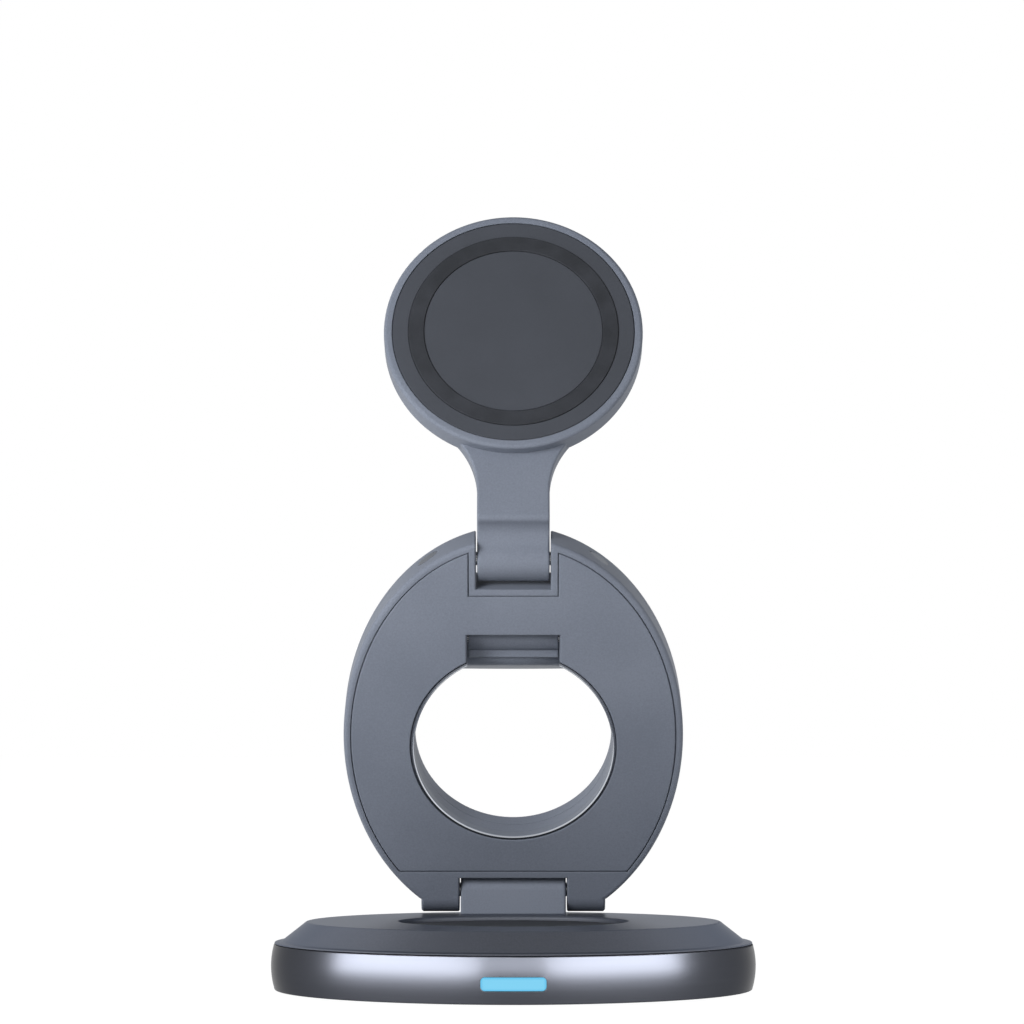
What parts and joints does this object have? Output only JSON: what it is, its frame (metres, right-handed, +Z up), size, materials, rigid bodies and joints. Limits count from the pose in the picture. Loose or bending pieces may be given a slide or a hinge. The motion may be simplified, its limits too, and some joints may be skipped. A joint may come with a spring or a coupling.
{
  "type": "three in one wireless charger",
  "caption": "Folding desk charger with a round weighted base, a leaning oval arm with a round window, a tilting phone pad and a watch disc that swings out of the window.",
  "frame": {"origin": "on the table, at the middle of the foot pad, below the centre of the round base", "axes": "+Z up, +X to the right as seen from the front, -Y to the front where the light bar is"},
  "size_m": [0.106, 0.1125, 0.1731],
  "materials": {
    "grey_aluminium": "bead blasted and anodised space grey",
    "gunmetal_band": "satin gunmetal",
    "polished_trim": "diamond cut, polished",
    "dark_plastic": "fine moulded texture",
    "dark_silicone": "matte silicone",
    "soft_face": "soft-touch paint",
    "light_bar": "lit translucent light pipe",
    "watch_face": "polished moulding",
    "steel": "turned",
    "ballast_steel": "stamped, zinc plated",
    "bronze_bush": "turned",
    "copper_coil": "wound enamelled wire",
    "ferrite": "sintered",
    "magnet_alloy": "nickel plated",
    "board": "solder mask"
  },
  "bodies": {
    "base": {"foot_pad": "dark_silicone", "base_bottom_cover": "dark_plastic", "bottom_screws": "steel", "base_ballast": "ballast_steel", "base_rim_band": "gunmetal_band", "led_light_pipe": "light_bar", "base_top_cover": "grey_aluminium", "earbuds_pad": "dark_silicone", "earbuds_coil": "copper_coil", "earbuds_shield": "ferrite", "base_circuit_board": "board", "power_inlet": "steel", "base_hinge_block": "grey_aluminium", "hinge_screws": "steel", "base_hinge_pin": "steel"},
    "arm": {"arm_frame": "grey_aluminium", "arm_front_panel": "grey_aluminium", "arm_rear_cover": "grey_aluminium", "hole_trim_ring": "polished_trim", "arm_hinge_bushes": "bronze_bush", "arm_hinge_caps": "grey_aluminium", "arm_ribbon_cable": "board", "arm_circuit_board": "board", "top_hinge_pin": "steel", "top_hinge_caps": "grey_aluminium", "watch_hinge_pin": "steel"},
    "watch_disc": {"watch_lower_shell": "grey_aluminium", "watch_upper_shell": "grey_aluminium", "watch_dish": "watch_face", "watch_coil": "copper_coil", "watch_magnet": "magnet_alloy", "watch_shield": "ferrite"},
    "phone_pad": {"pad_rear_shell": "grey_aluminium", "pad_front_disc": "soft_face", "pad_grip_ring": "dark_silicone", "pad_magnets": "magnet_alloy", "pad_coil": "copper_coil", "pad_shield": "ferrite", "pad_circuit_board": "board"}
  },
  "joints": [
    {"name": "arm_fold", "type": "hinge", "parent": "base", "child": "arm", "pos_m": [0, 0.0382, 0.0205], "axis": [1, 0, 0], "range_deg": [0, 65]},
    {"name": "watch_flip", "type": "hinge", "parent": "arm", "child": "watch_disc", "pos_m": [0, 0.01399, 0.07762], "axis": [1, 0, 0], "range_deg": [-65, 0]},
    {"name": "pad_tilt", "type": "hinge", "parent": "arm", "child": "phone_pad", "pos_m": [0, 0.00355, 0.09482], "axis": [1, 0, 0], "range_deg": [-70, 15]}
  ]
}
